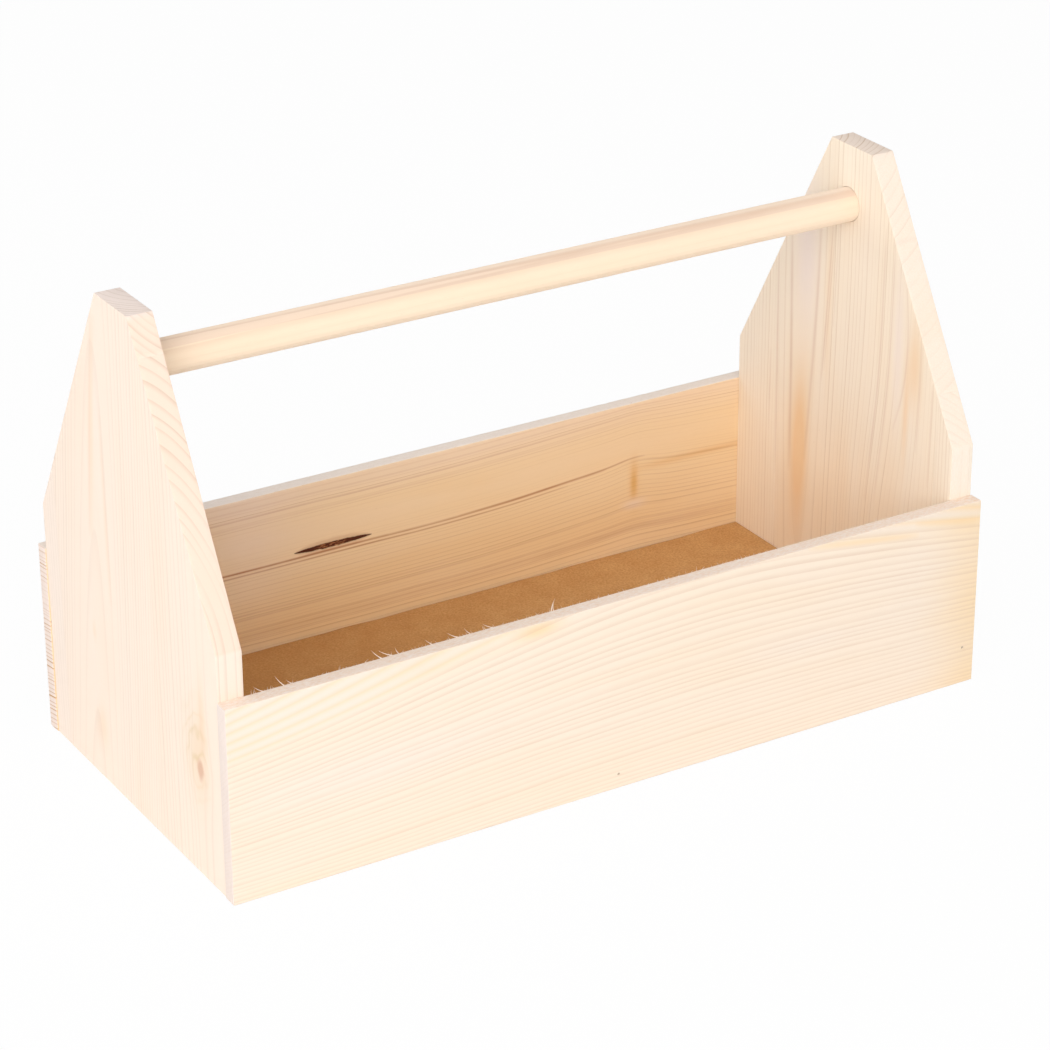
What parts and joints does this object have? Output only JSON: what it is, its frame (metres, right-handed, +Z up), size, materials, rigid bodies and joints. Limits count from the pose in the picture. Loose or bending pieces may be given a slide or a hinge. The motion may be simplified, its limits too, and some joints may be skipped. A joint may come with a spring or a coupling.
{
  "type": "wooden tool tote",
  "caption": "Open wooden tool tote: house-shaped end panels, long side boards, a thick base and a round carrying rod between the peaks.",
  "frame": {"origin": "middle of the footprint, on the surface that the tote stands on", "axes": "+X along the tote and its rod towards the right end panel, +Y towards the back board, +Z up"},
  "size_m": [0.5216, 0.251, 0.322],
  "materials": {
    "pine_end_panel": "raw planed",
    "pine_front_board": "raw planed, sawn edges",
    "pine_back_board": "raw planed, sawn edges",
    "pine_rod": "raw turned",
    "fibreboard_base": "raw fibreboard",
    "brad_steel": "plain wire"
  },
  "bodies": {
    "root": {"left_panel_front_stave": "pine_end_panel", "left_panel_middle_stave": "pine_end_panel", "left_panel_back_stave": "pine_end_panel", "right_panel_front_stave": "pine_end_panel", "right_panel_middle_stave": "pine_end_panel", "right_panel_back_stave": "pine_end_panel", "front_board": "pine_front_board", "back_board": "pine_back_board", "base_panel": "fibreboard_base", "handle_rod": "pine_rod", "front_left_brads": "brad_steel", "front_right_brads": "brad_steel", "back_left_brads": "brad_steel", "back_right_brads": "brad_steel", "base_brads": "brad_steel"}
  },
  "joints": []
}
